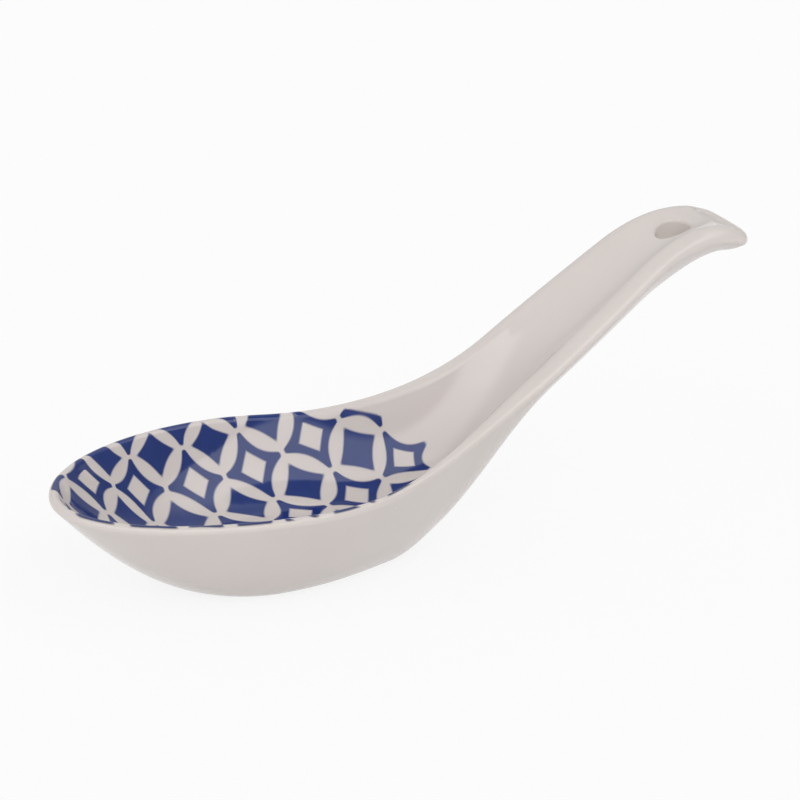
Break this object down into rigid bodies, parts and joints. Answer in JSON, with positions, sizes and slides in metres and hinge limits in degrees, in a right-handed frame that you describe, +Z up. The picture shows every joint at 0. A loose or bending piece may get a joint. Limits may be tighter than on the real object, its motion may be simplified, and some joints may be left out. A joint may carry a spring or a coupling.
{
  "type": "chinese soup spoon",
  "caption": "One-piece porcelain soup spoon with a deep flat-footed bowl, a rising grooved handle with a hanging hole, and a blue lattice print inside the bowl.",
  "frame": {"origin": "centre of the flat foot, on the table", "axes": "+X along the spoon to the end of the handle, -X to the tip of the bowl, +Z up"},
  "size_m": [0.1372, 0.0478, 0.0597],
  "materials": {
    "porcelain": "clear gloss glaze over warm white porcelain",
    "cobalt_solid": "cobalt blue underglaze print under clear gloss glaze",
    "cobalt_framed": "cobalt blue underglaze print under clear gloss glaze, thinner"
  },
  "bodies": {
    "root": {"porcelain_body": "porcelain", "print_solid_squares": "cobalt_solid", "print_framed_squares": "cobalt_framed"}
  },
  "joints": []
}
